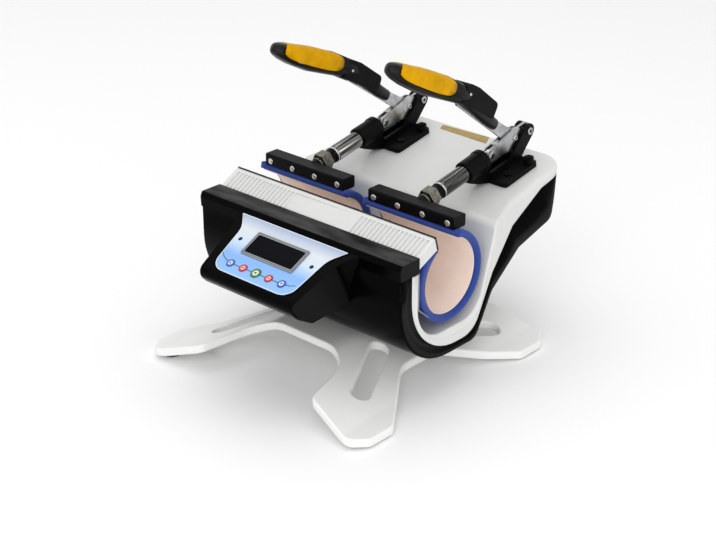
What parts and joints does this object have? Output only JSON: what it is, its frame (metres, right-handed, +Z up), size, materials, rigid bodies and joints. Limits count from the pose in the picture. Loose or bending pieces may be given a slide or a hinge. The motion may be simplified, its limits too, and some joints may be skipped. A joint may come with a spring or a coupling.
{
  "type": "double mug heat press",
  "caption": "Tabletop press with cradles for mugs: a heating wrap in each, pulled tight by a push-pull toggle clamp with a long handle, and a sloping control panel in front.",
  "frame": {"origin": "on the floor under the middle of the bounding box", "axes": "+X to the right seen from the front, +Y to the rear, +Z up; the control panel faces -Y"},
  "size_m": [0.33, 0.3906, 0.3688],
  "materials": {
    "stand_paint": "white paint, semi gloss",
    "white_gloss": "white, semi gloss",
    "black_gloss": "black, glossy",
    "black_casting": "black paint, satin",
    "black_rubber": "matte black",
    "black_plastic": "matte black",
    "grip_black": "satin black",
    "grip_yellow": "amber yellow",
    "blue_silicone": "blue silicone, satin",
    "liner": "pale copper coated liner",
    "bent_sheet": "bare steel sheet",
    "chrome_rod": "polished chrome",
    "nickel": "dull nickel",
    "zinc": "zinc plated",
    "label_sheet": "printed sheet, white at the top to light blue",
    "bezel_grey": "grey, satin",
    "screen": "dark display window, glossy",
    "board": "green circuit board",
    "led": "dark lens",
    "button_blue": "blue",
    "button_red": "red",
    "button_green": "green"
  },
  "bodies": {
    "housing": {"base_plate": "stand_paint", "foot_front_left": "black_rubber", "foot_front_right": "black_rubber", "foot_rear_left": "black_rubber", "foot_rear_right": "black_rubber", "lower_shell": "black_gloss", "tray": "white_gloss", "front_lip": "white_gloss", "front_console": "black_gloss", "label_plate": "label_sheet", "lcd_bezel": "bezel_grey", "lcd_screen": "screen", "control_board": "board", "led_left": "led", "led_right": "led", "power_board": "board", "power_inlet": "black_plastic", "switch_frame": "black_plastic", "left_mount_plate": "bent_sheet", "left_heating_mat": "blue_silicone", "left_mat_liner": "liner", "left_clamp_base": "black_casting", "left_lever_pin": "zinc", "right_mount_plate": "bent_sheet", "right_heating_mat": "blue_silicone", "right_mat_liner": "liner", "right_clamp_base": "black_casting", "right_lever_pin": "zinc"},
    "left_plunger": {"left_plunger": "chrome_rod", "left_spindle": "zinc", "left_hex_nut": "nickel", "left_jaw_bracket": "black_casting", "left_link_pin": "zinc"},
    "left_link": {"left_toggle_link": "zinc"},
    "left_lever": {"left_lever": "zinc", "left_grip": "grip_black", "left_grip_inset": "grip_yellow", "left_grip_block": "black_rubber"},
    "right_plunger": {"right_plunger": "chrome_rod", "right_spindle": "zinc", "right_hex_nut": "nickel", "right_jaw_bracket": "black_casting", "right_link_pin": "zinc"},
    "right_link": {"right_toggle_link": "zinc"},
    "right_lever": {"right_lever": "zinc", "right_grip": "grip_black", "right_grip_inset": "grip_yellow", "right_grip_block": "black_rubber"},
    "button_1": {"button_1": "button_blue"},
    "button_2": {"button_2": "button_red"},
    "button_3": {"button_3": "button_green"},
    "button_4": {"button_4": "button_red"},
    "button_5": {"button_5": "button_blue"},
    "rocker": {"rocker": "black_gloss"}
  },
  "joints": [
    {"name": "left_lever_hinge", "type": "hinge", "parent": "housing", "child": "left_lever", "pos_m": [-0.08, 0.1826, 0.2323], "axis": [-1, 0, 0], "range_deg": [0, 75]},
    {"name": "left_plunger_slide", "type": "slide", "parent": "housing", "child": "left_plunger", "axis": [0, 0.9833, 0.1822], "range_m": [0, 0.0211], "deforming": ["left_heating_mat", "left_mat_liner"]},
    {"name": "left_link_hinge", "type": "hinge", "parent": "left_plunger", "child": "left_link", "pos_m": [-0.08, 0.1172, 0.2202], "axis": [1, 0, 0], "range_deg": [0, 27.6]},
    {"name": "right_lever_hinge", "type": "hinge", "parent": "housing", "child": "right_lever", "pos_m": [0.08, 0.1826, 0.2323], "axis": [-1, 0, 0], "range_deg": [0, 75]},
    {"name": "right_plunger_slide", "type": "slide", "parent": "housing", "child": "right_plunger", "axis": [0, 0.9833, 0.1822], "range_m": [0, 0.0211], "deforming": ["right_heating_mat", "right_mat_liner"]},
    {"name": "right_link_hinge", "type": "hinge", "parent": "right_plunger", "child": "right_link", "pos_m": [0.08, 0.1172, 0.2202], "axis": [1, 0, 0], "range_deg": [0, 27.6]},
    {"name": "button_1_press", "type": "slide", "parent": "housing", "child": "button_1", "axis": [0, 0.4258, -0.9048], "range_m": [0, 0.0008], "stiffness_N_per_m": 500, "springref_m": -0.001},
    {"name": "button_2_press", "type": "slide", "parent": "housing", "child": "button_2", "axis": [0, 0.4258, -0.9048], "range_m": [0, 0.0008], "stiffness_N_per_m": 500, "springref_m": -0.001},
    {"name": "button_3_press", "type": "slide", "parent": "housing", "child": "button_3", "axis": [0, 0.4258, -0.9048], "range_m": [0, 0.0008], "stiffness_N_per_m": 500, "springref_m": -0.001},
    {"name": "button_4_press", "type": "slide", "parent": "housing", "child": "button_4", "axis": [0, 0.4258, -0.9048], "range_m": [0, 0.0008], "stiffness_N_per_m": 500, "springref_m": -0.001},
    {"name": "button_5_press", "type": "slide", "parent": "housing", "child": "button_5", "axis": [0, 0.4258, -0.9048], "range_m": [0, 0.0008], "stiffness_N_per_m": 500, "springref_m": -0.001},
    {"name": "rocker_tilt", "type": "hinge", "parent": "housing", "child": "rocker", "pos_m": [-0.022, 0.17835, 0.16403], "axis": [-1, 0, 0], "range_deg": [0, 16]}
  ],
  "couplings": [
    {"joint": "left_plunger_slide", "follows": "left_lever_hinge", "m_per_rad": 0.01604},
    {"joint": "left_link_hinge", "follows": "left_lever_hinge", "ratio": 0.3665},
    {"joint": "right_plunger_slide", "follows": "right_lever_hinge", "m_per_rad": 0.01604},
    {"joint": "right_link_hinge", "follows": "right_lever_hinge", "ratio": 0.3665}
  ]
}
